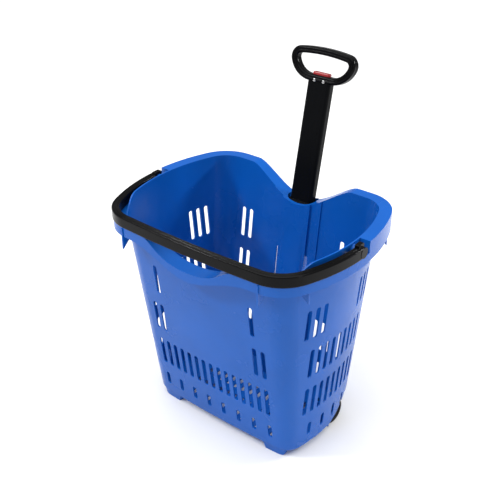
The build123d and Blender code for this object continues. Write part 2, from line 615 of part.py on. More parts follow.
def push_rod():
    """Rod from the button down to the lock block, with a tapered nose."""
    rod = Cylinder(ROD_RADIUS, BUTTON_LOW - ROD_LOW)
    rod = chamfer(rod.edges().sort_by(Axis.Z)[0], ROD_RADIUS / 2)
    return Pos(0, 0, (BUTTON_LOW + ROD_LOW) / 2) * rod


def button_spring():
    """Spring under the button, round the push rod."""
    low = BUTTON_WELL - SPRING_WELL_DEPTH + SLIDE_GAP
    return Pos(0, 0, low) * coil(SPRING_RADIUS, SPRING_WIRE, SPRING_TURNS, BUTTON_LOW - SLIDE_GAP - low)


def wheel_tyre():
    """Soft tyre of one wheel, about the X axis at the origin."""
    ring = Cylinder(WHEEL_RADIUS, WHEEL_WIDTH)
    ring = fillet(ring.edges().filter_by(GeomType.CIRCLE), TYRE_FILLET)
    return Rot(0, 90, 0) * (ring - Cylinder(WHEEL_RADIUS - TYRE_DEPTH, WHEEL_WIDTH))


def wheel_hub():
    """Hub of one wheel: rim, web and bored boss."""
    rim = WHEEL_RADIUS - TYRE_DEPTH
    hub = Cylinder(rim, WHEEL_WIDTH - TYRE_DEPTH)
    dish = Cylinder(rim - WALL, WHEEL_WIDTH) - Cylinder(AXLE_RADIUS + WALL, WHEEL_WIDTH)
    for side in (-1, 1):
        hub -= Pos(0, 0, side * (WHEEL_WIDTH / 2 + WALL / 2)) * dish
    hub += Cylinder(AXLE_RADIUS + WALL, WHEEL_WIDTH)
    return Rot(0, 90, 0) * (hub - Cylinder(AXLE_RADIUS + RUNNING_GAP, WHEEL_WIDTH))


def wheel_axle():
    """Headed axle pin of the right wheel, pressed through the wheel into the boss of the bay."""
    pin = along_x(AXLE_RADIUS, AXLE_TIP, AXLE_HEAD_SEAT, WHEEL_Y, WHEEL_HEIGHT)
    head = along_x(AXLE_HEAD_RADIUS, AXLE_HEAD_SEAT, AXLE_HEAD_SEAT + AXLE_HEAD_THICK, WHEEL_Y, WHEEL_HEIGHT)
    return pin + head


def handle_pieces():
    """Every piece of the telescopic handle, upright on its own line."""
    grip = grip_shell()
    pieces = {
        "outer_tube": tube(OUTER_WIDTH, OUTER_DEPTH, OUTER_LOW, OUTER_TOP,
                           (MIDDLE_PIN, MIDDLE_PIN + MIDDLE_TRAVEL)),
        "outer_tube_collar": outer_collar(),
        "outer_tube_plug": tube_plug(),
        "outer_tube_screws": tube_screws(),
        "middle_tube": tube(MIDDLE_WIDTH, MIDDLE_DEPTH, MIDDLE_LOW, MIDDLE_TOP,
                            (MIDDLE_PIN, INNER_PIN, INNER_PIN + INNER_SPARE_TRAVEL)),
        "middle_tube_collar": middle_collar(),
        "middle_lock_block": lock_block(MIDDLE_WIDTH, MIDDLE_DEPTH, MIDDLE_LOW),
        "middle_lock_pin": lock_pin(MIDDLE_DEPTH, MIDDLE_PIN),
        "middle_pin_spring": pin_spring(MIDDLE_DEPTH, MIDDLE_PIN),
        "inner_tube": tube(INNER_WIDTH, INNER_DEPTH, INNER_LOW, GRIP_BASE, (INNER_PIN,)),
        "inner_lock_block": lock_block(INNER_WIDTH, INNER_DEPTH, INNER_LOW),
        "inner_lock_pin": lock_pin(INNER_DEPTH, INNER_PIN),
        "inner_pin_spring": pin_spring(INNER_DEPTH, INNER_PIN),
        "grip_front_half": grip & half_space(0, -1),
        "grip_rear_half": grip & half_space(0, 1),
        "grip_screws": grip_screws(),
        "release_button": release_button(),
        "button_spring": button_spring(),
        "push_rod": push_rod(),
    }
    pieces["inner_lock_block"] -= Pos(0, 0, INNER_PIN + BLOCK_HEIGHT) * Cylinder(
        ROD_RADIUS + SLIDE_GAP, 2 * BLOCK_HEIGHT)
    return {name: TUBE_PLANE * piece for name, piece in pieces.items()}


def wheel_pieces():
    """Tyre, hub and axle of both wheels."""
    pieces = {}
    middle = (WHEEL_IN + WHEEL_OUT) / 2
    for name, side in (("right", 1), ("left", -1)):
        place = Pos(side * middle, WHEEL_Y, WHEEL_HEIGHT)
        pieces["wheel_tyre_" + name] = place * wheel_tyre()
        pieces["wheel_hub_" + name] = place * wheel_hub()
        axle = wheel_axle()
        pieces["wheel_axle_" + name] = axle if side > 0 else mirror(axle, Plane.YZ)
    return pieces


def all_pieces():
    """Every node by name, standing on Z = 0 with the origin under the middle of the whole."""
    pieces = {"basket_body": basket_body(), "carry_bail": carry_bail()}
    pieces.update(handle_pieces())
    pieces.update(wheel_pieces())
    box = Compound(list(pieces.values())).bounding_box()
    middle = (box.min.Y + box.max.Y) / 2
    return {name: Pos(0, -middle, GROUND_GAP) * piece for name, piece in pieces.items()}


def main():
    os.makedirs("parts", exist_ok=True)
    for name, piece in all_pieces().items():
        export_step(piece, "parts/" + name + ".step")


if __name__ == "__main__":
    main()
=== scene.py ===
import json
import math

import bmesh
import bpy
from mathutils import Matrix, Vector


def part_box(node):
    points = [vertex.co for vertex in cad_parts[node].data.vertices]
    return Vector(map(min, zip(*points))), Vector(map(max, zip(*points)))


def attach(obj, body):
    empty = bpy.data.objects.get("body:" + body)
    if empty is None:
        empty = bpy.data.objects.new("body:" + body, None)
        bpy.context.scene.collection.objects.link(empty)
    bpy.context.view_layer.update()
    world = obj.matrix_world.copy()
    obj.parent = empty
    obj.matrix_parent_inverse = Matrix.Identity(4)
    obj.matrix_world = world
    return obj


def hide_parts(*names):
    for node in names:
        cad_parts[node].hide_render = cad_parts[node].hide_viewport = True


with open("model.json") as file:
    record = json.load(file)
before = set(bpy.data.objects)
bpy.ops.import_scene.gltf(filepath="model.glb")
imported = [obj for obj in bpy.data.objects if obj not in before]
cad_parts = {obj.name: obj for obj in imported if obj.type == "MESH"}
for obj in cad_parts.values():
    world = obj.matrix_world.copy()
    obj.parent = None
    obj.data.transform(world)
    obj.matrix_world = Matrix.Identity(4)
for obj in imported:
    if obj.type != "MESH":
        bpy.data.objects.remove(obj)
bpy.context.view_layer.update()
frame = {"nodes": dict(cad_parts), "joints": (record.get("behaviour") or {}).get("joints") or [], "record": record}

bl_info = {
    "name": "Rolling shop basket",
    "version": (1, 0, 0),
    "blender": (4, 5, 0),
    "location": "3D View > Sidebar > Basket",
    "description": "Builds the visible pieces of a rolling shop basket around its packed frame",
    "category": "Object",
}

# Places come from the frame's joints and meshes. The sizes of the bail and the grip repeat the
# CAD's. Sizes are in metres unless a name says otherwise.
MM = 0.001
JOINTS = {joint["name"]: joint for joint in frame["joints"]}
HANDLE_AXIS = Vector(JOINTS["inner_slide"]["axis"]).normalized()
LEAN = math.atan2(HANDLE_AXIS.y, HANDLE_AXIS.z)
PIVOT = Vector(JOINTS["bail_swing"]["pos_m"])
BAIL_LOW, BAIL_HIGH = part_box("carry_bail")
TUBE_LOW, TUBE_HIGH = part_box("inner_tube")
GRIP_LOW, GRIP_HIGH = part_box("grip_front_half")


# ---------------------------------------------------------------- sizes and colours to change


def length(name, description, value_mm, digits=2):
    """Length property with its default given in millimetres."""
    return bpy.props.FloatProperty(name=name, description=description, default=value_mm * MM, min=0.0,
                                   unit="LENGTH", precision=digits + 3)


class BasketSizes(bpy.types.PropertyGroup):
    edge: length("Edge rounding", "Radius of the moulded edges of slots, ribs and walls", 0.7)
    piece_edge: length("Small edge rounding", "Radius of the edges of collars, hubs and blocks", 0.5)


class BailSizes(bpy.types.PropertyGroup):
    side_radius: length("Side bow", "Radius of the bowed side walls at the rim", 309.0)
    side_reach: length("Side reach", "Outer face of the side walls at the rim", 208.604)
    front_radius: length("Front bow", "Radius of the bowed front wall at the rim", 2330.0)
    front_reach: length("Front reach", "Outer face of the front wall at the rim", 154.82)
    corner: length("Corner", "Corner radius of the wall at the rim", 50.0)
    pivot_offset: length("Pivot offset", "How far the pivots lie in front of the middle of the bows", 5.5)
    start: length("Start", "Gap between the wall's outer face and the bail", 7.5)
    width: length("Width", "Bail section across", 14.0)
    height: length("Height", "Bail section upright", 20.0)
    rounding: length("Rounding", "Radius of the bail's long edges", 2.4)
    ridge_depth: length("Ridge depth", "Depth of the lengthwise grooves on the bail", 0.9)
    ridges: bpy.props.IntProperty(
        name="Ridges", description="Number of lengthwise ridges on the bail", default=4, min=1)
    eye: length("Eye", "Radius of the round ends at the pivots", 9.6)


class GripSizes(bpy.types.PropertyGroup):
    height: length("Height", "Height of the loop over its base", 61.0)
    reach: length("Reach", "Half width that the bowed sides would reach", 68.2)
    side_radius: length("Side radius", "Outer radius of the bowed sides", 46.0)
    corner: length("Corner radius", "Outer radius at the top corners", 20.0)
    arch: length("Arch", "Outer radius of the arched top bar", 346.0)
    bar: length("Bar", "Width of the loop's bar in its own plane", 13.0)
    depth: length("Depth", "Depth of the bar across the loop's plane", 19.0)
    rounding: length("Rounding", "Radius of the bar's long edges", 4.5)
    ridge_depth: length("Ridge depth", "Depth of the lengthwise ridges on the bar", 0.9)
    ridges: bpy.props.IntProperty(
        name="Ridges", description="Number of lengthwise ridges on each face of the bar", default=3, min=1)
    seam: length("Seam", "Width of the joint line between the two halves", 0.35)
    well_width: length("Well width", "Width of the button's opening", 35.6)
    well_depth: length("Well depth", "Depth of the button's opening across the bar", 11.6)
    well_floor: length("Well floor", "Height of the floor of the button's opening over the base", 6.2)
    tongue_top: length("Tongue top", "Height over the base up to which the tongue is kept", 4.0)


class BasketFinish(bpy.types.PropertyGroup):
    blue: bpy.props.FloatVectorProperty(
        name="Basket", description="Colour of the tub", subtype="COLOR", size=3, min=0, max=1,
        default=(0.003, 0.094, 0.43))
    black: bpy.props.FloatVectorProperty(
        name="Black mouldings", description="Colour of the bail, collars and hubs", subtype="COLOR", size=3,
        min=0, max=1, default=(0.0035, 0.0035, 0.004))
    tube: bpy.props.FloatVectorProperty(
        name="Tubes", description="Colour of the handle tubes", subtype="COLOR", size=3, min=0, max=1,
        default=(0.0035, 0.0038, 0.0045))
    button: bpy.props.FloatVectorProperty(
        name="Button", description="Colour of the release button", subtype="COLOR", size=3, min=0, max=1,
        default=(0.33, 0.006, 0.010))
    floor: bpy.props.FloatVectorProperty(
        name="Floor", description="Colour of the studio floor", subtype="COLOR", size=3, min=0, max=1,
        default=(0.86, 0.86, 0.86))


# ---------------------------------------------------------------- shader node groups


def node_group(name, inputs, outputs):
    """New shader group with float inputs {name: default} and outputs {name: socket type}."""
    tree = bpy.data.node_groups.new(name, "ShaderNodeTree")
    for label, value in inputs.items():
        socket = tree.interface.new_socket(label, in_out="INPUT", socket_type="NodeSocketFloat")
        socket.default_value = value
    for label, kind in outputs.items():
        tree.interface.new_socket(label, in_out="OUTPUT", socket_type=kind)
    return tree, tree.nodes.new("NodeGroupInput"), tree.nodes.new("NodeGroupOutput")


def object_place(tree):
    """Output socket with the point's place on its object."""
    return tree.nodes.new("ShaderNodeTexCoord").outputs["Object"]


def noise(tree, place, scale, detail=3.0):
    """Noise texture; scale is a number or a socket."""
    node = tree.nodes.new("ShaderNodeTexNoise")
    node.inputs["Detail"].default_value = detail
    tree.links.new(place, node.inputs["Vector"])
    if isinstance(scale, bpy.types.NodeSocket):
        tree.links.new(scale, node.inputs["Scale"])
    else:
        node.inputs["Scale"].default_value = scale
    return node.outputs["Fac"]


def spread(tree, value, low, high, out_low=0.0, out_high=1.0):
    """Map Range node; the limits are numbers or sockets."""
    node = tree.nodes.new("ShaderNodeMapRange")
    tree.links.new(value, node.inputs["Value"])
    names = ("From Min", "From Max", "To Min", "To Max")
    for label, limit in zip(names, (low, high, out_low, out_high)):
        if isinstance(limit, bpy.types.NodeSocket):
            tree.links.new(limit, node.inputs[label])
        else:
            node.inputs[label].default_value = limit
    return node.outputs["Result"]


def maths(tree, operation, a, b):
    """Math node on two numbers or sockets."""
    node = tree.nodes.new("ShaderNodeMath")
    node.operation = operation
    for socket, value in zip(node.inputs, (a, b)):
        if isinstance(value, bpy.types.NodeSocket):
            tree.links.new(value, socket)
        else:
            socket.default_value = value
    return node.outputs["Value"]


def moulded_grain_group():
    """Fine spark-eroded grain of a moulding, and the slow roughness drift of its surface."""
    tree, given, result = node_group(
        "moulded_grain",
        {"Grain Scale": 2500.0, "Roughness": 0.4, "Drift": 0.06},
        {"Height": "NodeSocketFloat", "Roughness": "NodeSocketFloat"})
    place = object_place(tree)
    fine = noise(tree, place, given.outputs["Grain Scale"], 2.0)
    slow = noise(tree, place, 14.0, 4.0)
    swing = maths(tree, "MULTIPLY", maths(tree, "SUBTRACT", slow, 0.5), given.outputs["Drift"])
    rough = maths(tree, "ADD", given.outputs["Roughness"], maths(tree, "MULTIPLY", swing, 2.0))
    tree.links.new(fine, result.inputs["Height"])
    tree.links.new(rough, result.inputs["Roughness"])
    return tree


def edge_sheen_and_wear_group():
    """Mask of the outward edges, broken up by noise: painted highlight on moulded edges, and rubbed wear on metal
    edges.
    """
    tree, given, result = node_group(
        "edge_sheen_and_wear",
        {"Reach": 0.08, "Breakup Scale": 60.0, "Amount": 1.0},
        {"Mask": "NodeSocketFloat"})
    bend = tree.nodes.new("ShaderNodeNewGeometry").outputs["Pointiness"]
    edge = spread(tree, bend, 0.5, maths(tree, "ADD", given.outputs["Reach"], 0.5))
    patch = spread(tree, noise(tree, object_place(tree), given.outputs["Breakup Scale"], 4.0), 0.35, 0.6)
    mask = maths(tree, "MULTIPLY", maths(tree, "MULTIPLY", edge, patch), given.outputs["Amount"])
    tree.links.new(mask, result.inputs["Mask"])
    return tree


def dust_group():
    """Mask of the thin dust that settles on faces turned upwards."""
    tree, given, result = node_group(
        "settled_dust",
        {"Patch Scale": 22.0, "Amount": 0.3},
        {"Mask": "NodeSocketFloat"})
    normal = tree.nodes.new("ShaderNodeNewGeometry").outputs["Normal"]
    parts = tree.nodes.new("ShaderNodeSeparateXYZ")
    tree.links.new(normal, parts.inputs["Vector"])
    up = spread(tree, parts.outputs["Z"], 0.2, 1.0)
    patch = spread(tree, noise(tree, object_place(tree), given.outputs["Patch Scale"], 5.0), 0.35, 0.75)
    mask = maths(tree, "MULTIPLY", maths(tree, "MULTIPLY", up, patch), given.outputs["Amount"])
    tree.links.new(mask, result.inputs["Mask"])
    return tree


GROUP_MAKERS = {
    "moulded_grain": moulded_grain_group,
    "edge_sheen_and_wear": edge_sheen_and_wear_group,
    "settled_dust": dust_group,
}


def place_group(tree, name, **values):
    """Places a shared group in a material's tree with its own values."""
    node = tree.nodes.new("ShaderNodeGroup")
    node.node_tree = bpy.data.node_groups.get(name) or GROUP_MAKERS[name]()
    for label, value in values.items():
        node.inputs[label.replace("_", " ").title()].default_value = value
    return node


def blend_colours(tree, mask, first, second):
    """Colour between two colours by a mask; each colour is a tuple or a socket."""
    node = tree.nodes.new("ShaderNodeMix")
    node.data_type = "RGBA"
    tree.links.new(mask, node.inputs["Factor"])
    for socket, colour in zip((node.inputs[6], node.inputs[7]), (first, second)):
        if isinstance(colour, bpy.types.NodeSocket):
            tree.links.new(colour, socket)
        else:
            socket.default_value = (*colour, 1.0)
    return node.outputs[2]


def scaled(colour, factor):
    """Colour made lighter or darker."""
    return tuple(min(1.0, part * factor) for part in colour)


# ---------------------------------------------------------------- materials


def new_material(name):
    """Empty node material; returns it, its tree and its Principled shader."""
    material = bpy.data.materials.new(name)
    material.use_nodes = True
    return material, material.node_tree, material.node_tree.nodes["Principled BSDF"]


def add_bump(tree, shader, height, strength, distance):
    """Bump from a height socket into the shader's normal."""
    bump = tree.nodes.new("ShaderNodeBump")
    bump.inputs["Strength"].default_value = strength
    bump.inputs["Distance"].default_value = distance
    tree.links.new(height, bump.inputs["Height"])
    tree.links.new(bump.outputs["Normal"], shader.inputs["Normal"])


def moulding(name, colour, rough, grain=0.25, coat=0.0, edge_sheen=0.25, dust=0.05, drift=0.06, specular=0.5):
    """Moulded plastic: slow colour variation, grain, edges painted lighter as a highlight, and a little dust."""
    material, tree, shader = new_material(name)
    skin = place_group(tree, "moulded_grain", grain_scale=2600.0, roughness=rough, drift=drift)
    edges = place_group(tree, "edge_sheen_and_wear", reach=0.09, breakup_scale=55.0, amount=edge_sheen)
    dusty = place_group(tree, "settled_dust", patch_scale=24.0, amount=dust)
    tint = spread(tree, noise(tree, object_place(tree), 9.0, 4.0), 0.35, 0.65)
    base = blend_colours(tree, tint, scaled(colour, 0.94), scaled(colour, 1.06))
    # The pale edge colour is a painted highlight where light catches the moulded edges.
    pale = tuple(min(1.0, part * 1.5 + 0.012) for part in colour)
    base = blend_colours(tree, edges.outputs["Mask"], base, pale)
    base = blend_colours(tree, dusty.outputs["Mask"], base, (0.45, 0.44, 0.42))
    tree.links.new(base, shader.inputs["Base Color"])
    tree.links.new(skin.outputs["Roughness"], shader.inputs["Roughness"])
    shader.inputs["Specular IOR Level"].default_value = specular
    shader.inputs["Coat Weight"].default_value = coat
    shader.inputs["Coat Roughness"].default_value = 0.12
    add_bump(tree, shader, skin.outputs["Height"], grain, 0.00012)
    return material


def drawn_metal(name, colour, rough, metallic=1.0, streak=(900.0, 900.0, 18.0), wear=0.2, specular=0.5):
    """Drawn or plated metal with fine streaks along its length."""
    material, tree, shader = new_material(name)
    mapping = tree.nodes.new("ShaderNodeMapping")
    mapping.inputs["Rotation"].default_value = (-LEAN, 0.0, 0.0)
    mapping.inputs["Scale"].default_value = streak
    tree.links.new(object_place(tree), mapping.inputs["Vector"])
    lines = noise(tree, mapping.outputs["Vector"], 1.0, 3.0)
    smears = noise(tree, object_place(tree), 30.0, 5.0)
    edges = place_group(tree, "edge_sheen_and_wear", reach=0.06, breakup_scale=90.0, amount=wear)
    base = blend_colours(tree, spread(tree, lines, 0.3, 0.7), scaled(colour, 0.85), scaled(colour, 1.15))
    base = blend_colours(tree, edges.outputs["Mask"], base, scaled(colour, 1.8))
    rough_lines = spread(tree, lines, 0.2, 0.8, rough * 0.85, rough * 1.1)
    rough_all = maths(tree, "ADD", rough_lines, spread(tree, smears, 0.4, 0.8, 0.0, 0.07))
    tree.links.new(base, shader.inputs["Base Color"])
    tree.links.new(rough_all, shader.inputs["Roughness"])
    shader.inputs["Metallic"].default_value = metallic
    shader.inputs["Specular IOR Level"].default_value = specular
    add_bump(tree, shader, lines, 0.15, 0.00005)
    return material


def tyre_rubber():
    """Solid black rubber with a dull scuffed tread."""
    material, tree, shader = new_material("tyre_rubber")
    skin = place_group(tree, "moulded_grain", grain_scale=1400.0, roughness=0.72, drift=0.08)
    dusty = place_group(tree, "settled_dust", patch_scale=60.0, amount=0.12)
    scuffs = spread(tree, noise(tree, object_place(tree), 120.0, 6.0), 0.45, 0.75, 0.0, 0.5)
    base = blend_colours(tree, scuffs, (0.012, 0.012, 0.012), (0.05, 0.048, 0.046))
    base = blend_colours(tree, dusty.outputs["Mask"], base, (0.3, 0.28, 0.26))
    tree.links.new(base, shader.inputs["Base Color"])
    tree.links.new(skin.outputs["Roughness"], shader.inputs["Roughness"])
    add_bump(tree, shader, skin.outputs["Height"], 0.5, 0.0002)
    return material


def make_materials(finish):
    """Every finish of the basket by name."""
    black = tuple(finish.black)
    return {
        "basket_plastic": moulding("basket_blue", tuple(finish.blue), 0.26, grain=0.08, edge_sheen=0.0, dust=0.0,
                                   specular=0.25),
        "bail_plastic": moulding("bail_black", black, 0.16, grain=0.04, edge_sheen=0.0, dust=0.0, specular=0.1),
        "moulded_black": moulding("collar_black", black, 0.35, edge_sheen=0.0, dust=0.0, specular=0.1),
        "grip_plastic": moulding("grip_black", black, 0.2, grain=0.1, edge_sheen=0.0, dust=0.0, specular=0.06),
        "button_red": moulding("button_red", tuple(finish.button), 0.3, grain=0.1, coat=0.2, edge_sheen=0.3),
        "inner_plastic": moulding("inner_grey", (0.10, 0.10, 0.105), 0.5),
        "hub_plastic": moulding("hub_black", black, 0.45, edge_sheen=0.1, dust=0.0, specular=0.25),
        "tube_black": drawn_metal("tube_black", tuple(finish.tube), 0.3, metallic=0.0, wear=0.0,
                                  specular=0.05),
        "screw_chrome": drawn_metal("screw_bright", (0.85, 0.85, 0.86), 0.3, streak=(400.0, 400.0, 400.0)),
        "bright_steel": drawn_metal("steel_bright", (0.45, 0.45, 0.46), 0.3),
        "rod_aluminium": drawn_metal("rod_plain", (0.55, 0.55, 0.57), 0.35),
        "spring_steel": drawn_metal("spring_wire", (0.32, 0.32, 0.33), 0.32, streak=(600.0, 600.0, 600.0)),
        "wheel_rubber": tyre_rubber(),
    }


def dress_frame_nodes(materials):
    """Gives every carried-over node the finish of its slot."""
    slots = {row["node"]: row["material_slot"] for row in frame["record"]["subparts"]}
    for name, node in frame["nodes"].items():
        for place in node.material_slots:
            place.material = materials[slots[name]]


# ---------------------------------------------------------------- mesh helpers


def add_piece(name, mesh, body, slot, *nodes):
    """Object for a finished mesh, riding on its body and standing for its nodes."""
    piece = bpy.data.objects.new(name, mesh)
    bpy.context.scene.collection.objects.link(piece)
    mesh.materials.clear()
    mesh.materials.append(MATERIALS[slot])
    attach(piece, body)
    if nodes:
        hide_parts(*nodes)
    return piece


def settled_mesh(piece):
    """Plain mesh of an object with its modifiers, which are then removed with the object."""
    shape = bpy.data.meshes.new_from_object(piece.evaluated_get(bpy.context.evaluated_depsgraph_get()))
    bpy.data.objects.remove(piece)
    return shape


def shade(mesh, angle=40.0):
    """Smooth shading with sharp edges past an angle in degrees."""
    mesh.shade_smooth()
    mesh.set_sharp_from_angle(angle=math.radians(angle))
    return mesh


MERGE_DISTANCE = 0.002 * MM
FLAT_DEGREES = 0.1
EDGE_DEGREES = 35.0
EDGE_SEGMENTS = 2
FACE_WEIGHT = 60


def cad_copy(node):
    """Work mesh of a node's merged copy with its flat faces joined."""
    work = bmesh.new()
    work.from_mesh(frame["nodes"][node].data)
    bmesh.ops.remove_doubles(work, verts=work.verts, dist=MERGE_DISTANCE)
    bmesh.ops.dissolve_limit(work, angle_limit=math.radians(FLAT_DEGREES), verts=work.verts,
                             edges=work.edges, use_dissolve_boundaries=False)
    return work


def rounded(work, name, width):
    """Plain mesh of a work mesh with its edges rounded and its flat faces kept flat."""
    mesh = bpy.data.meshes.new(name)
    work.to_mesh(mesh)
    work.free()
    piece = bpy.data.objects.new(name, mesh)
    bpy.context.scene.collection.objects.link(piece)
    bevel = piece.modifiers.new("edges", "BEVEL")
    bevel.width = width
    bevel.segments = EDGE_SEGMENTS
    bevel.limit_method = "ANGLE"
    bevel.angle_limit = math.radians(EDGE_DEGREES)
    bevel.use_clamp_overlap = True
    mesh.shade_smooth()
    even = piece.modifiers.new("even", "WEIGHTED_NORMAL")
    even.keep_sharp = True
    even.weight = FACE_WEIGHT
    return settled_mesh(piece)


def rounded_copy(node, width):
    """Plain mesh of a node with its edges rounded."""
    return rounded(cad_copy(node), node + "_rounded", width)


def joined(name, *meshes):
    """One new mesh made of several."""
    work = bmesh.new()
    for mesh in meshes:
        work.from_mesh(mesh)
    whole = bpy.data.meshes.new(name)
    work.to_mesh(whole)
    work.free()
    return whole


def kept_side(work, point, normal):
    """Cuts a work mesh at a plane, closes it and keeps what lies on the normal's side."""
    cut = bmesh.ops.bisect_plane(work, geom=work.verts[:] + work.edges[:] + work.faces[:], plane_co=point,
                                 plane_no=normal, clear_inner=True)
    edges = [item for item in cut["geom_cut"] if isinstance(item, bmesh.types.BMEdge)]
    bmesh.ops.contextual_create(work, geom=edges)
    return work


def run_tree(tree, name, source, **values):
    """Plain mesh that a geometry tree makes of a source mesh; inputs are set by their names."""
    piece = bpy.data.objects.new(name, source)
    bpy.context.scene.collection.objects.link(piece)
    nodes = piece.modifiers.new("build", "NODES")
    keys = {item.name: item.identifier for item in tree.interface.items_tree if item.item_type == "SOCKET"}
    nodes.node_group = tree
    for label, value in values.items():
        nodes[keys[label.replace("_", " ").title()]] = value
    return settled_mesh(piece)


def geometry_tree(name, inputs):
    """New geometry tree with a mesh in and out and inputs {name: (socket type, default)}."""
    tree = bpy.data.node_groups.new(name, "GeometryNodeTree")
    tree.interface.new_socket("Geometry", in_out="INPUT", socket_type="NodeSocketGeometry")
    tree.interface.new_socket("Geometry", in_out="OUTPUT", socket_type="NodeSocketGeometry")
    for label, (kind, value) in inputs.items():
        socket = tree.interface.new_socket(label, in_out="INPUT", socket_type=kind)
        if value is not None:
            socket.default_value = value
    return tree, tree.nodes.new("NodeGroupInput"), tree.nodes.new("NodeGroupOutput")


def chain(tree, kind, **values):
    """Adds a node; values are numbers or sockets by input name, and properties if no input has it."""
    node = tree.nodes.new(kind)
    for label, value in values.items():
        title = label.replace("_", " ").title()
        socket = next((item for item in node.inputs if item.name == title and item.enabled), None)
        if socket is None:
            setattr(node, label, value)
        elif isinstance(value, bpy.types.NodeSocket):
            tree.links.new(value, socket)
        else:
            socket.default_value = value
    return node


FLOAT = "NodeSocketFloat"
FILLET_STEPS = 5
SECTION_POINTS = 120
FACE_MARGIN = 0.02 * MM
RIDGE_SHARPNESS = 3.0


def swept_strip_tree():
    """Strip along a path: a rounded section with lengthwise ridges on its two end faces."""
    tree, given, result = geometry_tree("swept_strip", {
        "Width": (FLOAT, 14 * MM), "Height": (FLOAT, 20 * MM), "Rounding": (FLOAT, 2 * MM),
        "Ridges": ("NodeSocketInt", 4), "Ridge Depth": (FLOAT, 0.5 * MM), "Seam": (FLOAT, 0.0),
        "Finish": ("NodeSocketMaterial", None)})
    take = given.outputs
    path = chain(tree, "GeometryNodeMeshToCurve", mesh=take["Geometry"]).outputs[0]
    normal = chain(tree, "GeometryNodeSetCurveNormal", mode="Z_UP")
    tree.links.new(path, normal.inputs["Curve"])
    section = chain(tree, "GeometryNodeCurvePrimitiveQuadrilateral", width=take["Width"],
                    height=take["Height"]).outputs[0]
    fillet = chain(tree, "GeometryNodeFilletCurve", curve=section, radius=take["Rounding"])
    fillet.mode = "POLY"
    fillet.inputs["Count"].default_value = FILLET_STEPS
    fine = chain(tree, "GeometryNodeResampleCurve", curve=fillet.outputs[0])
    fine.inputs["Count"].default_value = SECTION_POINTS
    where = chain(tree, "GeometryNodeInputPosition").outputs[0]
    place = chain(tree, "ShaderNodeSeparateXYZ", vector=where)
    half = maths(tree, "DIVIDE", take["Height"], 2.0)
    away = maths(tree, "SUBTRACT", half, maths(tree, "ABSOLUTE", place.outputs["Y"], 0.0))
    flat = maths(tree, "LESS_THAN", away, FACE_MARGIN)
    across = maths(tree, "DIVIDE", place.outputs["X"], take["Width"])
    turns = maths(tree, "MULTIPLY", across, take["Ridges"])
    wave = maths(tree, "COSINE", maths(tree, "MULTIPLY", turns, 2 * math.pi), 0.0)
    wave = maths(tree, "MULTIPLY", maths(tree, "ADD", wave, 1.0), 0.5)
    wave = maths(tree, "POWER", wave, RIDGE_SHARPNESS)
    depth = maths(tree, "MULTIPLY", maths(tree, "MULTIPLY", wave, flat), take["Ridge Depth"])
    side = maths(tree, "LESS_THAN", maths(tree, "ABSOLUTE", place.outputs["Y"], 0.0), take["Seam"])
    notch = maths(tree, "MULTIPLY", side, take["Seam"])
    sign_y = maths(tree, "MULTIPLY", maths(tree, "SIGN", place.outputs["Y"], 0.0), -1.0)
    sign_x = maths(tree, "MULTIPLY", maths(tree, "SIGN", place.outputs["X"], 0.0), -1.0)
    shift = chain(tree, "ShaderNodeCombineXYZ", x=maths(tree, "MULTIPLY", sign_x, notch),
                  y=maths(tree, "MULTIPLY", sign_y, depth)).outputs[0]
    cut = chain(tree, "GeometryNodeSetPosition", geometry=fine.outputs[0], offset=shift).outputs[0]
    sweep = chain(tree, "GeometryNodeCurveToMesh", curve=normal.outputs[0], profile_curve=cut)
    sweep.inputs["Fill Caps"].default_value = True
    real = chain(tree, "GeometryNodeRealizeInstances", geometry=sweep.outputs[0]).outputs[0]
    done = chain(tree, "GeometryNodeSetMaterial", geometry=real, material=take["Finish"]).outputs[0]
    tree.links.new(done, result.inputs["Geometry"])
    return tree


def path_mesh(name, points, closed=False):
    """Mesh of edges through points in order."""
    edges = [(i, i + 1) for i in range(len(points) - 1)]
    if closed:
        edges.append((len(points) - 1, 0))
    mesh = bpy.data.meshes.new(name)
    mesh.from_pydata(points, edges, [])
    return mesh


def arc(centre, radius, start, end, count):
    """Points (u, v) of an arc between two angles."""
    steps = [start + (end - start) * i / count for i in range(count + 1)]
    return [(centre[0] + radius * math.cos(a), centre[1] + radius * math.sin(a)) for a in steps]


MATERIALS = {}
STRIP = []


# ---------------------------------------------------------------- pieces


class BASKET_OT_tub(bpy.types.Operator):
    """Tub with rounded slot and rim edges"""
    bl_idname = "basket.tub"
    bl_label = "Tub"

    def execute(self, context):
        mesh = rounded_copy("basket_body", context.scene.basket_sizes.edge)
        add_piece("tub", mesh, "basket", "basket_plastic", "basket_body")
        return {"FINISHED"}


def bail_path(sizes):
    """Centre line of the bail as (x, y) from the pivots round the front, in the frame."""
    grow = sizes.start + sizes.width / 2
    middle_y = PIVOT.y + sizes.pivot_offset
    side_x = sizes.side_reach - sizes.side_radius
    front_y = sizes.front_radius - sizes.front_reach
    reach_side = sizes.side_radius - sizes.corner
    reach_front = sizes.front_radius - sizes.corner
    away = math.hypot(side_x, front_y)
    along = (reach_side**2 - reach_front**2 + away**2) / (2 * away)
    across = math.sqrt(reach_side**2 - along**2)
    ux, uy = -side_x / away, front_y / away
    corner_x = side_x + along * ux + across * uy
    corner_y = along * uy - across * ux
    turn_side = math.atan2(corner_y, corner_x - side_x)
    turn_front = math.atan2(corner_y - front_y, corner_x)
    start = math.asin((-sizes.pivot_offset - sizes.eye) / (sizes.side_radius + grow))
    right = arc((side_x, 0.0), sizes.side_radius + grow, start, turn_side, 24)
    right += arc((corner_x, corner_y), sizes.corner + grow, turn_side, turn_front, 20)[1:]
    right += arc((0.0, front_y), sizes.front_radius + grow, turn_front, -math.pi / 2, 16)[1:]
    points = right + [(-x, y) for x, y in reversed(right[:-1])]
    return [(x, y + middle_y, PIVOT.z) for x, y in points]


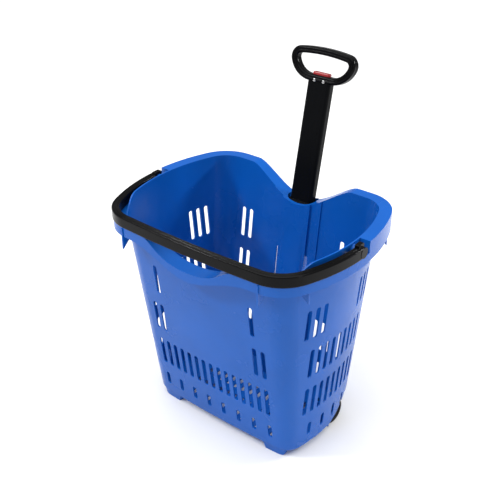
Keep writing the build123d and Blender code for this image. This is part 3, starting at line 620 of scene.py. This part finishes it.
class BASKET_OT_bail(bpy.types.Operator):
    """Carrying bail: a ridged strip round the front, with a round eye and a lug at each pivot"""
    bl_idname = "basket.bail"
    bl_label = "Bail"

    def execute(self, context):
        sizes = context.scene.basket_bail
        strip = run_tree(STRIP[0], "bail_strip", path_mesh("bail_path", bail_path(sizes)),
                         width=sizes.width, height=sizes.height, rounding=sizes.rounding,
                         ridges=sizes.ridges, ridge_depth=sizes.ridge_depth,
                         finish=MATERIALS["bail_plastic"])
        shade(strip, 30.0)
        ends = kept_side(cad_copy("carry_bail"), (0, PIVOT.y - sizes.eye, 0), (0, 1, 0))
        ends = rounded(ends, "bail_ends", context.scene.basket_sizes.piece_edge)
        add_piece("bail", joined("bail", strip, ends), "bail", "bail_plastic", "carry_bail")
        return {"FINISHED"}


def grip_path(sizes):
    """Centre line of the grip's bar as closed (x, height) points over the loop's base."""
    inset = sizes.bar / 2
    side = Vector((sizes.reach - sizes.side_radius, sizes.side_radius))
    arch = Vector((0.0, sizes.height - sizes.arch))
    side_gap = sizes.side_radius - sizes.corner
    arch_gap = sizes.arch - sizes.corner
    between = arch - side
    along = (side_gap**2 - arch_gap**2 + between.length_squared) / (2 * between.length)
    across = math.sqrt(side_gap**2 - along**2)
    way = between.normalized()
    corner = side + way * along + Vector((-way.y, way.x)) * across
    out = math.atan2(corner.y - side.y, corner.x - side.x)
    rise = math.atan2(corner.y - arch.y, corner.x - arch.x)
    right = [(0.0, inset)]
    right += arc(side, sizes.side_radius - inset, -math.pi / 2, out, 40)
    right += arc(corner, sizes.corner - inset, out, rise, 24)[1:]
    right += arc(arch, sizes.arch - inset, rise, math.pi / 2, 16)[1:]
    return right + [(-x, z) for x, z in reversed(right[1:-1])]


def handle_place():
    """Matrix from the handle's own upright axes, at the grip's base, to the frame."""
    turn = Matrix.Rotation(-LEAN, 4, "X")
    local = [turn.inverted() @ vertex.co for vertex in frame["nodes"]["inner_tube"].data.vertices]
    base = Vector((0.0, 0.0, 0.0))
    base.y = (min(place.y for place in local) + max(place.y for place in local)) / 2
    base.z = max(place.z for place in local)
    return Matrix.Translation(turn @ base) @ turn


def box_cutter(name, low, high):
    """Box mesh between two corners, for a cut."""
    mesh = bpy.data.meshes.new(name)
    work = bmesh.new()
    bmesh.ops.create_cube(work, size=1.0)
    middle = (Vector(low) + Vector(high)) / 2
    span = Vector(high) - Vector(low)
    for vertex in work.verts:
        vertex.co = Vector([m + c * s for m, c, s in zip(middle, vertex.co, span)])
    work.to_mesh(mesh)
    work.free()
    return mesh


def cut_by(mesh, cutter):
    """Mesh less a cutter mesh."""
    piece = bpy.data.objects.new("cut_piece", mesh)
    tool = bpy.data.objects.new("cut_tool", cutter)
    for item in (piece, tool):
        bpy.context.scene.collection.objects.link(item)
    boolean = piece.modifiers.new("cut", "BOOLEAN")
    boolean.operation = "DIFFERENCE"
    boolean.solver = "EXACT"
    boolean.object = tool
    shape = settled_mesh(piece)
    bpy.data.objects.remove(tool)
    return shape


class BASKET_OT_grip(bpy.types.Operator):
    """Loop of the pull handle: a ridged bar round the finger gap, with the CAD tongue under it"""
    bl_idname = "basket.grip"
    bl_label = "Grip"

    def execute(self, context):
        sizes = context.scene.basket_grip
        points = [(x, z, 0.0) for x, z in grip_path(sizes)]
        loop = run_tree(STRIP[0], "grip_loop", path_mesh("grip_path", points, closed=True),
                        width=sizes.bar, height=sizes.depth, rounding=sizes.rounding, ridges=sizes.ridges,
                        ridge_depth=sizes.ridge_depth, seam=sizes.seam, finish=MATERIALS["grip_plastic"])
        loop.transform(Matrix.Rotation(math.pi / 2, 4, "X"))
        half_w, half_d = sizes.well_width / 2, sizes.well_depth / 2
        low = (-half_w, -half_d, sizes.well_floor)
        well = box_cutter("button_well", low, (half_w, half_d, 2 * sizes.bar))
        loop = cut_by(loop, well)
        place = handle_place()
        loop.transform(place)
        shade(loop, 35.0)
        up = place.to_3x3() @ Vector((0.0, 0.0, 1.0))
        meshes = [loop]
        for node in ("grip_front_half", "grip_rear_half"):
            work = kept_side(cad_copy(node), place @ Vector((0.0, 0.0, sizes.tongue_top)), -up)
            meshes.append(rounded(work, node + "_tongue", context.scene.basket_sizes.piece_edge / 2))
        add_piece("grip", joined("grip", *meshes), "inner_section", "grip_plastic", "grip_front_half",
                  "grip_rear_half")
        return {"FINISHED"}


ROUNDED_NODES = (
    ("outer_tube_collar", "basket", "moulded_black"),
    ("middle_tube_collar", "middle_section", "moulded_black"),
    ("release_button", "button", "button_red"),
    ("wheel_hub_right", "wheel_right", "hub_plastic"),
    ("wheel_hub_left", "wheel_left", "hub_plastic"),
    ("wheel_axle_right", "basket", "moulded_black"),
    ("wheel_axle_left", "basket", "moulded_black"),
    ("middle_lock_block", "middle_section", "inner_plastic"),
    ("inner_lock_block", "inner_section", "inner_plastic"),
)


class BASKET_OT_small(bpy.types.Operator):
    """Collars, button, hubs, axles and lock blocks with rounded edges"""
    bl_idname = "basket.small"
    bl_label = "Small pieces"

    def execute(self, context):
        edge = context.scene.basket_sizes.piece_edge
        for node, body, slot in ROUNDED_NODES:
            add_piece(node + "_look", rounded_copy(node, edge), body, slot, node)
        return {"FINISHED"}


class BASKET_OT_finishes(bpy.types.Operator):
    """Materials for every node"""
    bl_idname = "basket.finishes"
    bl_label = "Finishes"

    def execute(self, context):
        MATERIALS.update(make_materials(context.scene.basket_finish))
        dress_frame_nodes(MATERIALS)
        STRIP.append(swept_strip_tree())
        return {"FINISHED"}


class BASKET_OT_stage(bpy.types.Operator):
    """Pale floor, soft studio light and the camera"""
    bl_idname = "basket.stage"
    bl_label = "Stage"

    def execute(self, context):
        make_floor(context.scene.basket_finish)
        make_lights(context.scene)
        make_camera(context.scene)
        return {"FINISHED"}


# ---------------------------------------------------------------- stage

CAMERA_AZIMUTH = math.radians(38.341)
CAMERA_ELEVATION = math.radians(30.019)
CAMERA_LENS_MM = 59.92
CAMERA_SENSOR_MM = 36.0
CAMERA_PLACE = Vector((0.7904, -1.02655, 1.0758))


def make_floor(finish):
    """Large pale floor."""
    mesh = bpy.data.meshes.new("floor")
    half = 12.0
    corners = [(-half, -half, 0), (half, -half, 0), (half, half, 0), (-half, half, 0)]
    mesh.from_pydata([Vector(c) for c in corners], [], [(0, 1, 2, 3)])
    floor = bpy.data.objects.new("floor", mesh)
    bpy.context.scene.collection.objects.link(floor)
    material, tree, shader = new_material("floor_pale")
    shader.inputs["Roughness"].default_value = 0.85
    shader.inputs["Specular IOR Level"].default_value = 0.2
    tint = spread(tree, noise(tree, object_place(tree), 2.0, 2.0), 0.3, 0.7)
    base = blend_colours(tree, tint, tuple(finish.floor), scaled(finish.floor, 1.01))
    tree.links.new(base, shader.inputs["Base Color"])
    mesh.materials.append(material)


def area_light(name, place, aim, size, power):
    """Soft rectangular light that points at a place."""
    light = bpy.data.lights.new(name, "AREA")
    light.shape = "RECTANGLE"
    light.size, light.size_y = size
    light.energy = power
    lamp = bpy.data.objects.new(name, light)
    bpy.context.scene.collection.objects.link(lamp)
    lamp.location = place
    lamp.rotation_mode = "QUATERNION"
    lamp.rotation_quaternion = (Vector(aim) - Vector(place)).to_track_quat("-Z", "Y")


WORLD_STRENGTH = 0.3
SUN_POWER = 2.9
SUN_SPREAD = math.radians(80.0)
SUN_TURN = (math.radians(8.0), math.radians(-6.0), 0.0)
LIGHT_AIM = (0.0, 0.0, 0.25)
AREA_LIGHTS = (
    ("key", (-1.5, -1.6, 2.0), (0.5, 0.12), 30.0),
    ("rear_right", (1.7, 2.1, 1.6), (0.9, 0.12), 46.0),
    ("side", (2.4, -0.5, 1.2), (0.4, 0.8), 7.0),
)


def make_lights(scene):
    """White surroundings, a sun with a wide soft disc, and narrow lights for the sheen on edges."""
    world = bpy.data.worlds.new("studio")
    world.use_nodes = True
    background = world.node_tree.nodes["Background"]
    background.inputs["Color"].default_value = (1.0, 1.0, 1.0, 1.0)
    background.inputs["Strength"].default_value = WORLD_STRENGTH
    scene.world = world
    sun = bpy.data.lights.new("sun", "SUN")
    sun.energy = SUN_POWER
    sun.angle = SUN_SPREAD
    lamp = bpy.data.objects.new("sun", sun)
    scene.collection.objects.link(lamp)
    lamp.rotation_euler = SUN_TURN
    for name, place, size, power in AREA_LIGHTS:
        area_light(name, place, LIGHT_AIM, size, power)


def make_camera(scene):
    """Camera on the front right, looking down at the basket."""
    camera = bpy.data.cameras.new("camera")
    camera.lens = CAMERA_LENS_MM
    camera.sensor_width = CAMERA_SENSOR_MM
    camera.clip_start = 0.05
    camera.clip_end = 60.0
    holder = bpy.data.objects.new("camera", camera)
    scene.collection.objects.link(holder)
    flat = math.cos(CAMERA_ELEVATION)
    side, front = math.sin(CAMERA_AZIMUTH) * flat, -math.cos(CAMERA_AZIMUTH) * flat
    back = Vector((side, front, math.sin(CAMERA_ELEVATION)))
    holder.location = CAMERA_PLACE
    holder.rotation_mode = "QUATERNION"
    holder.rotation_quaternion = (-back).to_track_quat("-Z", "Y")
    scene.camera = holder
    scene.view_settings.view_transform = "Standard"


# ---------------------------------------------------------------- panel and registration

OPERATORS = (BASKET_OT_finishes, BASKET_OT_tub, BASKET_OT_bail, BASKET_OT_grip, BASKET_OT_small,
             BASKET_OT_stage)
GROUPS = {"basket_sizes": BasketSizes, "basket_bail": BailSizes, "basket_grip": GripSizes,
          "basket_finish": BasketFinish}


class BASKET_PT_panel(bpy.types.Panel):
    """Sizes, colours and pieces of the basket"""
    bl_idname = "BASKET_PT_panel"
    bl_label = "Rolling shop basket"
    bl_space_type = "VIEW_3D"
    bl_region_type = "UI"
    bl_category = "Basket"

    def draw(self, context):
        for label, group in GROUPS.items():
            for key in group.__annotations__:
                self.layout.prop(getattr(context.scene, label), key)
        for operator in OPERATORS:
            self.layout.operator(operator.bl_idname)


def register():
    for group in GROUPS.values():
        bpy.utils.register_class(group)
    for label, group in GROUPS.items():
        setattr(bpy.types.Scene, label, bpy.props.PointerProperty(type=group))
    for operator in OPERATORS:
        bpy.utils.register_class(operator)
    bpy.utils.register_class(BASKET_PT_panel)


def unregister():
    bpy.utils.unregister_class(BASKET_PT_panel)
    for operator in reversed(OPERATORS):
        bpy.utils.unregister_class(operator)
    for label, group in GROUPS.items():
        delattr(bpy.types.Scene, label)
        bpy.utils.unregister_class(group)


def main():
    """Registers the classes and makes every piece."""
    register()
    for operator in OPERATORS:
        group, name = operator.bl_idname.split(".")
        getattr(getattr(bpy.ops, group), name)()


if __name__ == "__main__":
    main()
